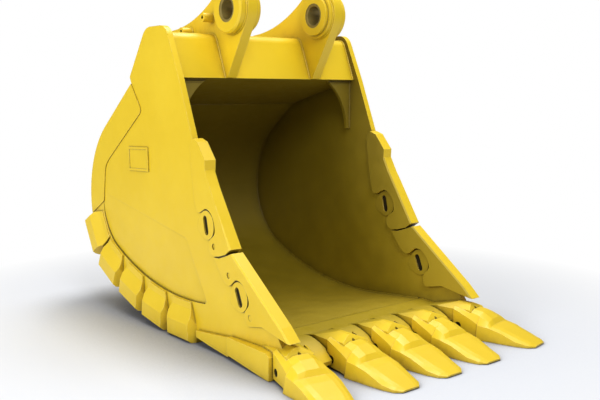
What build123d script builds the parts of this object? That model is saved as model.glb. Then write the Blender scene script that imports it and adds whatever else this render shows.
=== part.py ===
from build123d import *
from math import asin, atan2, cos, degrees, radians, sin, sqrt, tan
import os

os.makedirs("parts", exist_ok=True)

# Excavator rock bucket, in millimetres, standing on its teeth and heel.
# X runs across the bucket, -Y points to the teeth and +Z is up.
# The origin is the stick pin axis, midway between the two hinge plates.

# Overall layout
inner_half = 690.0
side_t = 38.0
shell_t = 20.0
pin_height = 1936.0
weld_gap = 0.3
run_gap = 0.05

# Wrapper, from the lip round the heel to the torque tube
lip_joint_y = -560.0
lip_joint_z = -1833.0
floor_rise = 5.2
bottom_radius = 2064.0
heel_turn = 26.0
heel_radius = 516.0
back_radius = 616.0
back_slope = 36.6
shell_top = (601.0, -432.5)

# Lip plate
lip_t = 60.0
lip_rise = 28.0
lip_rear_bevel = 30.0
lip_fall = 3.0
lip_front_y = -915.0
lip_edge_t = 24.0
lip_bevel = 70.0

# Side plates in front of and above the wrapper
horn_top = -96.0
horn_front_y = 172.0
horn_rear_y = 408.0
horn_foot = (622.0, -390.0)
brow = (33.0, -402.0)
guard_seat_top = (-113.0, -766.0)
edge_bend = (-438.0, -1369.0)
edge_foot = (-884.0, -1717.0)
nose_top = (-940.0, -1800.0)
side_rounds = [14.0, 112.0, 92.0, 300.0, 500.0, 220.0, 60.0, 30.0, 16.0]
strip_t = 6.0
strip_gap = 8.0
strip_deep = 228.0
strip_bends = ((993.0, -970.0), (919.0, -912.0), (473.0, -600.0))
strip_rounds = [24.0, 130.0, 90.0, 34.0]
badge_t = 8.0
badge_rim = 14.0
badge_size = (252.0, 150.0)
badge_centre = (529.0, -900.0)
badge_turn = -2.0
panel_step = 5.0
panel_sink = 15.0
panel_border = 180.0
panel_reach = 1400.0
panel_crease_rear = (1080.0, -1148.0)
panel_crease_front = (-17.0, -1328.0)
panel_foot = (-227.0, -1664.0)
panel_round = 40.0

# Torque tube and corner gussets
tube_lip = (84.0, -400.0)
tube_top = -130.0
tube_front_y = 188.0
tube_rear_y = 425.0
tube_corner = 62.0
tube_t = 16.0
tube_seam_run = 200.0
gusset_y = 118.0
gusset_t = 25.0
gusset_wide = 220.0
gusset_foot = 26.0
gusset_low = -733.0
gusset_belly_in = 86.0
gusset_belly_z = -530.0

# Hinge plates, hubs and pin keepers
ear_inner = 302.0
ear_t = 65.0
nose_centre = (20.0, 10.0)
nose_radius = 176.0
link_pin = (680.0, -247.0)
link_radius = 165.0
saddle_radius = 960.0
ear_foot = (62.0, -397.0)
ear_tail = (1040.0, -757.0)
pin_r = 60.0
bush_wall = 17.0
bush_inset = 3.0
bush_lead = 3.0
hub_chamfer = 10.0
hub_neck_r = 112.0
hub_r = 142.0
hub_out = 48.0
hub_step_r = 124.0
hub_step = 22.0
hub_in = 26.0
keeper_r = 27.0
keeper_hole_r = 11.0
keeper_long = 74.0
keeper_points = ((222.0, -34.0), (470.0, -105.0))

# Side bar protectors
guard_outer = 22.0
guard_inner = 25.0
guard_chamfer = 8.0
guard_skin = {
    "upper": ((-75.0, -790.0, 1.5), (-165.0, -763.0, 5.0), (-497.0, -1325.0, 22.0)),
    "lower": ((-442.0, -1525.0, 10.0), (-509.0, -1344.0, 22.0), (-930.0, -1660.0, 22.0)),
}
guard_brow = ((-497.0, -1325.0), (-292.0, -1005.0), (-242.0, -912.0), (-245.0, -860.0), (-165.0, -763.0))
guard_low = (-930.0, -1660.0)
guard_tip = (-1003.0, -1727.0)
upper_guard_front = ((-449.0, -1359.0),)
upper_guard_rear = ((-112.0, -745.0), (-75.0, -790.0), (-117.0, -1073.0))
lower_guard_foot = ((-767.0, -1690.0), (-892.0, -1711.0))
lower_guard_top = (
    (-509.0, -1344.0), (-449.0, -1368.0), (-381.0, -1390.0), (-322.0, -1394.0), (-405.0, -1500.0),
)
guard_hook = (
    (-83, -92), (-43, -78), (27, -90), (58, -74), (96, 13), (86, 56), (23, 90), (7, 128), (23, 164),
)
guard_hook_end = ((45, 176), (101, 181))
guard_runs = {"upper": (0.0, -205.0, -320.0), "lower": (0.0, -421.0, -316.0)}
guard_dots = ((-37, -131), (61, 124))
guard_dot_r = 17.0
guard_dot_deep = 14.0
boss_centres = {"upper": (-243.0, -1224.0), "lower": (-555.0, -1576.0)}
boss_leans = {"upper": 12.6, "lower": 23.5}
boss_head_r = 82.0
boss_head_ahead = 8.0
boss_tail = 96.0
boss_tail_r = 45.0
boss_t = 15.0
boss_tail_t = 1.5
slot_long = 112.0
slot_wide = 44.0
slot_sink = 4.0

# Heel shrouds
shroud_count = 5
shroud_first = -5.0
shroud_pitch = 314.0
shroud_long = 250.0
shroud_leg = 176.0
shroud_out = 50.0
shroud_under = 150.0
shroud_rim = 12.0
shroud_draft = 3.0
shroud_edge = (22.0, 16.0)
shroud_lap = 38.0
shroud_crease = 52.0
shroud_taper = 44.0
shroud_flare = 14.0
shroud_bevel = 10.0
corner_strip_t = 24.0
corner_strip_wide = 62.0
corner_strip_gap = 45.0
corner_strip_rear = (-1850.0, -1888.0)
corner_strip_front = ((-300, -1908), (-470, -1925), (-470, -1815))
wear_plate_t = 20.0
wear_plate_half = 60.0
wear_front_y = -500.0
wear_rear_y = 420.0

# Teeth
tooth_count = 5
corner_tooth_in = 38.0
root_y = -800.0
splay = 10.5
adapter_half = 88.0
shoulder_reach = 118.0
adapter_rear_half = 74.0
adapter_flare_reach = 20.0
adapter_profile = (
    (-90, -1830), (-90, -1808), (90, -1760), (118, -1752), (118, -1918), (60, -1920), (15, -1903),
    (15, -1850),
)
gable_half = 8.0
gable_top = -1750.0
gable_eave = -1786.0
hump_half = 78.0
hump_low = -1850.0
hump_front = 229.0
hump_profile = ((110, -1752), (192, -1753), (hump_front, -1790))
eye_reach = 218.0
eye_r = 9.0
eye_deep = 30.0
leg_flare = (34.0, 72.0)
leg_profile = (
    (-475, -1808), (-865, -1795), (-930, -1830), (-960, -1880), (-960, -1934), (-850, -1934), (-475, -1908),
)
foot_wide = 168.0
foot_profile = ((-570, -1850), (-960, -1870), (-960, -1920), (-850, -1925), (-570, -1905))
nose_sections = ((118, 82, -1788, -1908), (340, 54, -1862, -1910))
nose_clear = 0.4
tip_start = 122.0
brow_out = 0.55
brow_down = 0.3
tip_sections = (
    (122, 40, -1758, 100, -1782, 100, -1920),
    (236, 40, -1780, 104, -1826, 108, -1926),
    (285, 38, -1786, 108, -1848, 114, -1932),
    (292, 38, -1788, 120, -1851, 134, -1936),
    (350, 38, -1818, 120, -1854, 130, -1936),
    (372, 58, -1846, 119, -1858, 126, -1936),
    (430, 62, -1857, 116, -1870, 122, -1936),
    (535, 56, -1889, 108, -1910, 110, -1936),
    (600, 42, -1911, 90, -1922, 92, -1935),
    (632, 30, -1923, 56, -1926, 58, -1932),
)
lock_reach = 155.0
lock_z = -1880.0
lock_r = 22.0
lock_bottom = 59.0
lock_room = 90.0
lock_depth = 36.0
drive_half = 9.5
drive_deep = 14.0

# Lip shrouds
lip_shroud_gap = 6.0
lip_shroud_step = 11.0
lip_shroud_top = ((-712, -1830), (-712, -1809), (-745, -1797), (-776, -1796))
lip_shroud_arc = ((-885, -1826), (-968, -1882))
lip_shroud_hook = ((-962, -1905), (-925, -1917), (-870, -1916), (-810, -1905), (-810, -1850))
lip_shroud_neck = (-905.0, -925.0)

# Values worked out from the sizes above
side_outer = inner_half + side_t
ear_outer = ear_inner + ear_t
tooth_pitch = 2 * (inner_half - corner_tooth_in) / (tooth_count - 1)
lip_shroud_half = tooth_pitch / 2 - adapter_half - lip_shroud_gap
lip_shroud_nose_half = lip_shroud_half - lip_shroud_step
shroud_half = shroud_long / 2 + shroud_flare
floor_dir = (cos(radians(floor_rise)), -sin(radians(floor_rise)))
bend = radians(heel_turn)
crest = radians(180 - back_slope)
arc_reach = bottom_radius * sin(bend) + heel_radius * (1 - sin(bend)) + back_radius * (sin(crest) - 1)
arc_climb = bottom_radius * (1 - cos(bend)) + heel_radius * cos(bend) - back_radius * cos(crest)
floor_tan = tan(radians(floor_rise))
floor_reach = shell_top[0] - arc_reach - bottom_radius * sin(radians(floor_rise)) - lip_joint_y
floor_sag = bottom_radius * (1 - cos(radians(floor_rise)))
back_climb = shell_top[1] - lip_joint_z - arc_climb + floor_reach * floor_tan + floor_sag
back_run = back_climb / (sin(crest) + cos(crest) * floor_tan)
heel_low_y = shell_top[0] - arc_reach - back_run * cos(crest)
turn_y = heel_low_y - bottom_radius * sin(radians(floor_rise))
floor_run = (turn_y - lip_joint_y) / floor_dir[0]
turn_z = lip_joint_z + floor_run * floor_dir[1]
heel_low_z = turn_z - floor_sag
ground = -pin_height
shroud_t = heel_low_z - ground
back_dir = (cos(radians(back_slope)), -sin(radians(back_slope)))


def heading(angle):
    """Unit direction in the side view at an angle above the rearward horizontal."""
    return (cos(radians(angle)), sin(radians(angle)))


def shroud_travel(number):
    """Distance of a heel shroud's middle along the wrapper, behind its lowest point."""
    return shroud_first + (shroud_count - number) * shroud_pitch


def shell_side(depth):
    """Draw the wrapper's line at a depth inside its outer face and return its two ends."""
    start = (lip_joint_y - depth * floor_dir[1], lip_joint_z + depth * floor_dir[0])
    floor = Line(start, (start[0] + floor_run * floor_dir[0], start[1] + floor_run * floor_dir[1]))
    bottom = JernArc(floor @ 1, floor % 1, bottom_radius - depth, heel_turn + floor_rise)
    heel = JernArc(bottom @ 1, bottom % 1, heel_radius - depth, 90 - heel_turn)
    back = JernArc(heel @ 1, heel % 1, back_radius - depth, 90 - back_slope)
    top = Line(back @ 1, (back @ 1) + (back % 1) * back_run)
    return floor @ 0, top @ 1


def heel_frame(travel):
    """Point and heading on the wrapper's outer face, a distance behind its lowest point."""
    turned = degrees(travel / bottom_radius)
    if turned <= heel_turn:
        angle = radians(turned)
        return (
            heel_low_y + bottom_radius * sin(angle),
            heel_low_z + bottom_radius * (1 - cos(angle)),
            turned,
        )
    start_y = heel_low_y + bottom_radius * sin(bend)
    start_z = heel_low_z + bottom_radius * (1 - cos(bend))
    angle = bend + (travel - bottom_radius * bend) / heel_radius
    return (
        start_y + heel_radius * (sin(angle) - sin(bend)),
        start_z + heel_radius * (cos(bend) - cos(angle)),
        degrees(angle),
    )


def lip_top_z(y):
    """Height of the lip plate's upper face."""
    return lip_joint_z + lip_rise + (y - lip_joint_y) * tan(radians(lip_fall))


def meeting_point(first, first_reach, second, second_reach):
    """Point above two centres, at a given distance from each of them."""
    span = sqrt((second[0] - first[0]) ** 2 + (second[1] - first[1]) ** 2)
    run = ((second[0] - first[0]) / span, (second[1] - first[1]) / span)
    ahead = (first_reach**2 - second_reach**2 + span**2) / (2 * span)
    rise = sqrt(first_reach**2 - ahead**2)
    return (first[0] + ahead * run[0] - rise * run[1], first[1] + ahead * run[1] + rise * run[0])


def facing_left(first, second, third):
    """Plane through three points, facing -X."""
    normal = (second - first).cross(third - first)
    return Plane(origin=first, x_dir=second - first, z_dir=normal * (-1 if normal.X > 0 else 1))


def tangent_point(start, centre, radius, side):
    """Where a line from start touches a circle, on its left (1) or right (-1)."""
    reach = sqrt((centre[0] - start[0]) ** 2 + (centre[1] - start[1]) ** 2)
    length = sqrt(reach**2 - radius**2)
    angle = atan2(centre[1] - start[1], centre[0] - start[0]) + side * asin(radius / reach)
    return (start[0] + length * cos(angle), start[1] + length * sin(angle))


def toward(centre, target, radius):
    """Point on a circle in the direction of a target."""
    reach = sqrt((target[0] - centre[0]) ** 2 + (target[1] - centre[1]) ** 2)
    return (
        centre[0] + radius * (target[0] - centre[0]) / reach,
        centre[1] + radius * (target[1] - centre[1]) / reach,
    )


def hook(which, ahead, down):
    """Side-view point given ahead of and below the centre of a protector's lock boss."""
    lean = radians(boss_leans[which])
    centre = boss_centres[which]
    return (
        centre[0] - ahead * cos(lean) - down * sin(lean),
        centre[1] + ahead * sin(lean) - down * cos(lean),
    )


def tooth_axes(index):
    """Root, right-hand and forward directions of a tooth, splayed at the two corners."""
    offset = index - (tooth_count - 1) / 2
    corner = {0: -1, tooth_count - 1: 1}.get(index, 0)
    turn = radians(splay * corner)
    right = Vector(cos(turn), sin(turn), 0)
    ahead = Vector(sin(turn), -cos(turn), 0)
    return Vector(offset * tooth_pitch, root_y, 0), right, ahead


def across(index, reach):
    """Plane square to a tooth, a reach ahead of its root: sideways, then up."""
    root, right, ahead = tooth_axes(index)
    return Plane(root + ahead * reach, x_dir=right, z_dir=ahead)


def along(index, sideways=0):
    """Plane down a tooth's length: reach, then up."""
    root, right, ahead = tooth_axes(index)
    return Plane(root + right * sideways, x_dir=ahead, z_dir=right * -1)


def side_plane(x):
    """Side-view plane at a distance across the bucket: back, then up."""
    return Plane.YZ.offset(x)


def boss_place(level):
    """Location of a protector's lock pocket in the side view, its length along local x."""
    return Location((*boss_centres[level], 0), (0, 0, 90 - boss_leans[level]))


def save(part, name):
    """Label a finished piece and write it."""
    part.label = name
    export_step(part, f"parts/{name}.step")


def save_pair(left, name):
    """Write a left-hand piece and its mirror image."""
    save(left, f"{name}_left")
    save(mirror(left, about=Plane.YZ), f"{name}_right")


# Wrapper: one rolled plate from the lip round the heel to the tube
with BuildPart() as wrapper:
    with BuildSketch(Plane.YZ):
        with BuildLine():
            outer_low, outer_high = shell_side(0)
            inner_low, inner_high = shell_side(shell_t)
            Line(outer_low, inner_low)
            Line(outer_high, inner_high)
        make_face()
    extrude(amount=inner_half, both=True)
save(wrapper.part, "wrapper")

# Space taken by the wrapper and everything inside it, for what is fitted round its outer face
with BuildPart() as shell_space:
    with BuildSketch(Plane.YZ):
        with BuildLine():
            space_low, space_high = shell_side(-weld_gap)
            Line(space_low, space_high)
        make_face()
    extrude(amount=side_outer, both=True)

# Lip plate with a bevelled cutting edge
lip_low_rear = (lip_joint_y, lip_top_z(lip_joint_y) - lip_t)
lip_low_front = (lip_front_y, lip_top_z(lip_front_y) - lip_t)
with BuildSketch(Plane.YZ) as lip_section:
    with BuildLine():
        Polyline(
            (lip_joint_y - lip_rear_bevel, lip_top_z(lip_joint_y - lip_rear_bevel)),
            (lip_joint_y, lip_joint_z + shell_t),
            lip_low_rear,
            lip_low_front,
            (lip_front_y, lip_low_front[1] + lip_edge_t),
            (lip_front_y + lip_bevel, lip_top_z(lip_front_y + lip_bevel)),
            close=True,
        )
    make_face()
with BuildPart() as lip_plate:
    extrude(lip_section.sketch, amount=inner_half, both=True)
save(lip_plate.part, "lip_plate")

# Side plates: the wrapper's profile, the horn at the top and the long front edge
nose_low = (nose_top[0], lip_top_z(nose_top[0]) - lip_t)
with BuildSketch(Plane.YZ) as side_outline:
    with BuildLine():
        side_low, side_high = shell_side(0)
        FilletPolyline(
            side_high, horn_foot, (horn_rear_y, horn_top), (horn_front_y, horn_top), brow,
            guard_seat_top, edge_bend, edge_foot, nose_top, nose_low, lip_low_rear,
            radius=side_rounds,
        )
        Line(lip_low_rear, side_low)
    make_face()
with BuildSketch(Plane.YZ) as panel_outline:
    with BuildLine():
        panel_low, panel_high = shell_side(panel_border)
        Line(panel_low, panel_high)
    make_face()
    with BuildLine():
        Polyline(
            panel_crease_rear, panel_crease_front, panel_foot, (0, ground), (panel_reach, ground),
            close=True,
        )
    make_face(mode=Mode.INTERSECT)
    fillet(panel_outline.vertices().sort_by_distance((0, *panel_foot))[0], panel_round)
panel_rear = Vector(-side_outer, *panel_crease_rear)
panel_corner = Vector(panel_step - side_outer, *panel_crease_front)
panel_base = Vector(panel_sink - side_outer, *panel_foot)
panel_plane = facing_left(panel_corner, panel_rear, panel_base)
with BuildPart() as panel_cut:
    extrude(panel_outline.sketch, amount=-side_outer - side_t)
    split(bisect_by=panel_plane, keep=Keep.TOP)
with BuildPart() as side_plate_left:
    with BuildSketch(side_plane(-side_outer)):
        add(side_outline.sketch_local)
    extrude(amount=side_t)
    add(panel_cut.part, mode=Mode.SUBTRACT)
    with BuildSketch(side_plane(-side_outer)):
        for level in boss_centres:
            with Locations(boss_place(level)):
                SlotOverall(slot_long, slot_wide)
    extrude(amount=side_t, mode=Mode.SUBTRACT)
save_pair(side_plate_left.part, "side_plate")

# Room for the side plate's front edge in whatever is fitted over it
with BuildPart() as edge_space_left:
    with BuildSketch(side_plane(-side_outer)):
        add(side_outline.sketch_local)
        offset(amount=weld_gap)
    extrude(amount=side_t)
with BuildPart() as edge_space_right:
    mirror(edge_space_left.part, about=Plane.YZ)

# Raised wear strips along the upper rear edges of the side plates
strip_y, strip_z, strip_turn = heel_frame(shroud_travel(1))
strip_ahead = heading(strip_turn)
strip_low = (
    strip_y + (shroud_half + strip_gap) * strip_ahead[0],
    strip_z + (shroud_half + strip_gap) * strip_ahead[1],
)
strip_foot = (strip_low[0] - strip_deep * strip_ahead[1], strip_low[1] + strip_deep * strip_ahead[0])
strip_out = (strip_low[0] + strip_deep * strip_ahead[1], strip_low[1] - strip_deep * strip_ahead[0])
with BuildPart() as rear_strip_left:
    with BuildSketch(side_plane(-side_outer)):
        with BuildLine():
            strip_start, strip_stop = shell_side(0)
            Line(strip_start, strip_stop)
        make_face()
        with BuildLine():
            FilletPolyline(strip_out, strip_foot, *strip_bends, outer_high, radius=strip_rounds)
            Polyline(outer_high, (strip_out[0] + strip_deep, outer_high.Y), strip_out)
        make_face(mode=Mode.INTERSECT)
    extrude(amount=-strip_t)
save_pair(rear_strip_left.part, "rear_strip")

# Bare badge plates with a raised rim
with BuildPart() as badge_plate_left:
    with BuildSketch(side_plane(-side_outer)):
        with Locations(Location((*badge_centre, 0), (0, 0, badge_turn))):
            Rectangle(*badge_size)
    extrude(amount=-badge_t)
    with BuildSketch(side_plane(-side_outer - badge_t)):
        with Locations(Location((*badge_centre, 0), (0, 0, badge_turn))):
            Rectangle(badge_size[0] - 2 * badge_rim, badge_size[1] - 2 * badge_rim)
    extrude(amount=badge_t / 2, mode=Mode.SUBTRACT)
save_pair(badge_plate_left.part, "badge_plate")

# Torque tube: closed box section between the side plates, seated on the wrapper's upper end
tube_foot = (inner_high.X + tube_seam_run * back_dir[0], inner_high.Y + tube_seam_run * back_dir[1])
with BuildSketch(Plane.YZ) as tube_outline:
    with BuildLine():
        Polyline(tube_lip, tube_foot, inner_high, outer_high)
        FilletPolyline(
            outer_high, (tube_rear_y, tube_top), (tube_front_y, tube_top), tube_lip, radius=tube_corner
        )
    make_face()
with BuildPart() as torque_tube:
    with BuildSketch(Plane.YZ):
        add(tube_outline.sketch_local)
        offset(tube_outline.sketch_local, amount=-tube_t, kind=Kind.INTERSECTION, mode=Mode.SUBTRACT)
    extrude(amount=inner_half, both=True)
save(torque_tube.part, "torque_tube")

# Room for the tube in whatever is fitted over it
with BuildPart() as tube_space:
    with BuildSketch(Plane.YZ):
        add(tube_outline.sketch_local)
        offset(amount=weld_gap)
    extrude(amount=inner_half, both=True)

# Corner gussets under the tube, each with a hollowed free edge
with BuildPart() as corner_gusset_left:
    with BuildSketch(Plane.XZ.offset(-gusset_y)):
        with BuildLine():
            gusset_edge = ThreePointArc(
                (gusset_wide - inner_half, tube_lip[1]),
                (gusset_belly_in - inner_half, gusset_belly_z),
                (gusset_foot - inner_half, gusset_low),
            )
            Polyline(
                gusset_edge @ 1,
                (-inner_half, gusset_low),
                (-inner_half, tube_lip[1] + tube_t),
                (gusset_wide - inner_half, tube_lip[1] + tube_t),
                gusset_edge @ 0,
            )
        make_face()
    extrude(amount=-gusset_t)
    extrude(tube_outline.sketch, amount=inner_half, both=True, mode=Mode.SUBTRACT)
save_pair(corner_gusset_left.part, "corner_gusset")

# Hinge plates from the stick pin over the saddle to the link pin
saddle = meeting_point(nose_centre, nose_radius + saddle_radius, link_pin, link_radius + saddle_radius)
nose_front = tangent_point(ear_foot, nose_centre, nose_radius, 1)
nose_rear = toward(nose_centre, saddle, nose_radius)
link_front = toward(link_pin, saddle, link_radius)
link_rear = tangent_point(ear_tail, link_pin, link_radius, -1)
saddle_chord = ((nose_rear[0] + link_front[0]) / 2, (nose_rear[1] + link_front[1]) / 2)
nose_crown = toward(nose_centre, (nose_centre[0] - 1, nose_centre[1] + 1), nose_radius)
link_crown = toward(link_pin, (link_pin[0] + 1, link_pin[1] + 1), link_radius)
with BuildPart() as hinge_plate_left:
    with BuildSketch(side_plane(-ear_outer)):
        with BuildLine():
            Line(ear_foot, nose_front)
            ThreePointArc(nose_front, nose_crown, nose_rear)
            ThreePointArc(nose_rear, toward(saddle, saddle_chord, saddle_radius), link_front)
            ThreePointArc(link_front, link_crown, link_rear)
            Polyline(link_rear, ear_tail, tube_foot, tube_lip, ear_foot)
        make_face()
        for centre in ((0, 0), link_pin):
            with Locations(centre):
                Circle(hub_neck_r + weld_gap, mode=Mode.SUBTRACT)
    extrude(amount=ear_t)
    add(tube_space.part, mode=Mode.SUBTRACT)
    add(shell_space.part, mode=Mode.SUBTRACT)
save_pair(hinge_plate_left.part, "hinge_plate")

# Pin hubs through the hinge plates, each with a pressed-in steel bushing
for pin_name, pin_centre in (("stick", (0, 0)), ("link", link_pin)):
    with BuildPart() as hub:
        with BuildSketch(side_plane(-ear_outer)):
            with Locations(pin_centre):
                Circle(hub_r)
        extrude(amount=-hub_out)
        chamfer(hub.faces().sort_by(Axis.X)[0].edges(), hub_chamfer)
        with BuildSketch(side_plane(-ear_outer)):
            with Locations(pin_centre):
                Circle(hub_neck_r)
        extrude(amount=ear_t)
        with BuildSketch(side_plane(-ear_inner)):
            with Locations(pin_centre):
                Circle(hub_r)
        extrude(amount=hub_in)
        with BuildSketch(side_plane(hub_in - ear_inner)):
            with Locations(pin_centre):
                Circle(hub_step_r)
        extrude(amount=hub_step)
        with BuildSketch(side_plane(-ear_outer - hub_out)):
            with Locations(pin_centre):
                Circle(pin_r + bush_wall + run_gap)
        extrude(amount=hub_out + ear_t + hub_in + hub_step, mode=Mode.SUBTRACT)
    save_pair(hub.part, f"{pin_name}_hub")
    with BuildPart() as bushing:
        with BuildSketch(side_plane(bush_inset - ear_outer - hub_out)):
            with Locations(pin_centre):
                Circle(pin_r + bush_wall)
                Circle(pin_r, mode=Mode.SUBTRACT)
        extrude(amount=hub_out + ear_t + hub_in + hub_step - 2 * bush_inset)
        inner_rims = bushing.edges().filter_by(GeomType.CIRCLE).sort_by(SortBy.RADIUS)[:2]
        chamfer(inner_rims, bush_lead)
    save_pair(bushing.part, f"{pin_name}_bushing")

# Keeper bosses for the pin retainers, on the outer faces of the hinge plates
with BuildPart() as keeper_bosses_left:
    with BuildSketch(side_plane(-ear_outer)):
        with Locations(*keeper_points):
            Circle(keeper_r)
            Circle(keeper_hole_r, mode=Mode.SUBTRACT)
    extrude(amount=-keeper_long)
save_pair(keeper_bosses_left.part, "keeper_bosses")

# Side bar protectors, hooked round their lock bosses and slotted over the side plate
with BuildSketch(Plane.YZ) as upper_guard_outline:
    with BuildLine():
        upper_seam = Spline(*[hook("upper", *step) for step in guard_hook])
        Polyline(
            upper_seam @ 1,
            *[hook("upper", *step) for step in guard_hook_end],
            *upper_guard_front,
            *guard_brow,
            *upper_guard_rear,
            upper_seam @ 0,
        )
    make_face()
with BuildSketch(Plane.YZ) as lower_guard_outline:
    with BuildLine():
        lower_seam = Spline(*[hook("lower", *step) for step in guard_hook])
        Polyline(lower_seam @ 1, *lower_guard_foot, guard_tip, guard_low, *lower_guard_top, lower_seam @ 0)
    make_face()
for level, outline in (("upper", upper_guard_outline), ("lower", lower_guard_outline)):
    skin = [Vector(-side_outer - thick, y, z) for y, z, thick in guard_skin[level]]
    with BuildPart() as guard:
        with BuildSketch(side_plane(-side_outer - guard_outer)):
            add(outline.sketch_local)
        extrude(amount=guard_outer + side_t + guard_inner)
        nose_edges = guard.edges().filter_by(Axis((0, 0, 0), guard_runs[level])).group_by(Axis.Y)[0]
        chamfer(nose_edges, guard_chamfer)
        split(bisect_by=facing_left(*skin), keep=Keep.BOTTOM)
        add(edge_space_left.part, mode=Mode.SUBTRACT)
        with BuildSketch(side_plane(-side_outer - guard_outer)):
            with Locations(*[hook(level, *place) for place in guard_dots]):
                Circle(guard_dot_r)
        extrude(amount=guard_dot_deep, mode=Mode.SUBTRACT)
    save_pair(guard.part, f"protector_{level}")

    with BuildSketch(Plane.YZ) as boss_outline:
        with Locations(hook(level, boss_head_ahead, 0)):
            Circle(boss_head_r)
        with Locations(hook(level, boss_tail_r - boss_tail, 0)):
            Circle(boss_tail_r)
        make_hull()
        with Locations(boss_place(level)):
            SlotOverall(slot_long, slot_wide, mode=Mode.SUBTRACT)
    boss_front = Vector(-side_outer - boss_t, *hook(level, boss_head_ahead + boss_head_r, 0))
    boss_front_low = Vector(-side_outer - boss_t, *hook(level, boss_head_ahead + boss_head_r, boss_head_r))
    boss_rear = Vector(-side_outer - boss_tail_t, *hook(level, -boss_tail, 0))
    with BuildPart() as lock_boss:
        with BuildSketch(side_plane(-side_outer)):
            add(boss_outline.sketch_local)
        extrude(amount=-boss_t)
        split(bisect_by=facing_left(boss_front, boss_front_low, boss_rear), keep=Keep.BOTTOM)
        mirror(about=side_plane((-side_outer - inner_half) / 2))
    save_pair(lock_boss.part, f"lock_boss_{level}")

# Protector locks: bars through the pockets, sunk below the boss faces
with BuildPart() as protector_locks_left:
    with BuildSketch(side_plane(slot_sink - side_outer)):
        for level in boss_centres:
            with Locations(boss_place(level)):
                SlotOverall(slot_long - 2 * weld_gap, slot_wide - 2 * weld_gap)
    extrude(amount=side_t - 2 * slot_sink)
save_pair(protector_locks_left.part, "protector_locks")

# Heel shrouds: corner pieces along the wrapper's lower edges, the first one highest at the rear
for number in range(1, shroud_count + 1):
    seat_y, seat_z, seat_turn = heel_frame(shroud_travel(number))
    seat_ahead = heading(seat_turn)
    with BuildPart() as heel_shroud:
        with BuildSketch(
            Plane(
                origin=(-side_outer, seat_y, seat_z),
                x_dir=(-1, 0, 0),
                z_dir=(0, seat_ahead[0], seat_ahead[1]),
            )
        ):
            with BuildLine():
                Polyline(
                    (0, shroud_leg),
                    (shroud_rim, shroud_leg),
                    (shroud_rim + shroud_draft, shroud_leg - shroud_lap),
                    (shroud_out, shroud_crease),
                    (shroud_out - shroud_draft, shroud_edge[1] - shroud_t),
                    (shroud_out - shroud_edge[0], -shroud_t),
                    (-shroud_under, -shroud_t),
                    (-shroud_under, shroud_rim * 3),
                    (0, shroud_rim * 3),
                    close=True,
                )
            make_face()
        extrude(amount=shroud_half, both=True)
        with BuildSketch(Plane(origin=(0, seat_y, seat_z), x_dir=(0, *seat_ahead), z_dir=(1, 0, 0))):
            Polygon(
                (-shroud_half, -shroud_t),
                (shroud_half, -shroud_t),
                (shroud_half, shroud_crease),
                (shroud_half - shroud_taper, shroud_leg),
                (shroud_taper - shroud_half, shroud_leg),
                (-shroud_half, shroud_crease),
                align=None,
            )
        extrude(amount=side_outer + shroud_out, both=True, mode=Mode.INTERSECT)
        with BuildSketch(
            Plane(
                origin=(0, seat_y, seat_z),
                x_dir=(0, *seat_ahead),
                z_dir=(0, -seat_ahead[1], seat_ahead[0]),
            )
        ):
            Polygon(
                (-shroud_half, 0),
                (shroud_half, 0),
                (shroud_half, side_outer),
                (shroud_long / 2 - shroud_bevel, side_outer + shroud_out),
                (shroud_bevel - shroud_long / 2, side_outer + shroud_out),
                (-shroud_half, side_outer),
                align=None,
            )
        extrude(amount=shroud_leg, both=True, mode=Mode.INTERSECT)
        add(shell_space.part, mode=Mode.SUBTRACT)
        mirror(about=Plane.YZ)
    save(heel_shroud.part, f"heel_shroud_{number}")

# Corner strips under the floor, between the corner adapters and the heel shrouds
strip_rear_y = heel_low_y + shroud_first - shroud_long / 2 - corner_strip_gap
with BuildPart() as corner_strips:
    with BuildSketch(side_plane(-side_outer - corner_strip_t)):
        Polygon(*[(strip_rear_y, z) for z in corner_strip_rear], *corner_strip_front, align=None)
    extrude(amount=corner_strip_wide)
    add(shell_space.part, mode=Mode.SUBTRACT)
    add(edge_space_left.part, mode=Mode.SUBTRACT)
    mirror(about=Plane.YZ)
save(corner_strips.part, "corner_strips")

# Wear plates welded along the underside of the wrapper
with BuildPart() as floor_wear_plates:
    with BuildSketch(Plane.YZ):
        with BuildLine():
            wear_low, wear_high = shell_side(-weld_gap - wear_plate_t)
            Line(wear_low, wear_high)
        make_face()
        with BuildLine():
            Polyline(
                (wear_rear_y, ground), (wear_rear_y, 0), (wear_front_y, 0), (wear_front_y, ground),
                close=True,
            )
        make_face(mode=Mode.INTERSECT)
    extrude(amount=wear_plate_half, both=True)
    add(shell_space.part, mode=Mode.SUBTRACT)
    middle_plate = floor_wear_plates.part
    add(middle_plate.moved(Location((tooth_pitch, 0, 0))))
    add(middle_plate.moved(Location((-tooth_pitch, 0, 0))))
save(floor_wear_plates.part, "floor_wear_plates")

# Outer leg and foot that carry a corner adapter round the side plate
with BuildPart() as corner_leg_left:
    with BuildSketch(side_plane(-side_outer)):
        Polygon(*leg_profile, align=None)
    extrude(amount=-leg_flare[1])
    leg_rear = Vector(-side_outer - leg_flare[0], *leg_profile[0])
    leg_rear_low = Vector(-side_outer - leg_flare[0], *leg_profile[-1])
    leg_front = Vector(-side_outer - leg_flare[1], *leg_profile[3])
    split(bisect_by=facing_left(leg_rear, leg_rear_low, leg_front), keep=Keep.BOTTOM)
    with BuildSketch(side_plane(-side_outer)):
        Polygon(*foot_profile, align=None)
    extrude(amount=foot_wide)
with BuildPart() as corner_leg_right:
    mirror(corner_leg_left.part, about=Plane.YZ)

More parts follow.
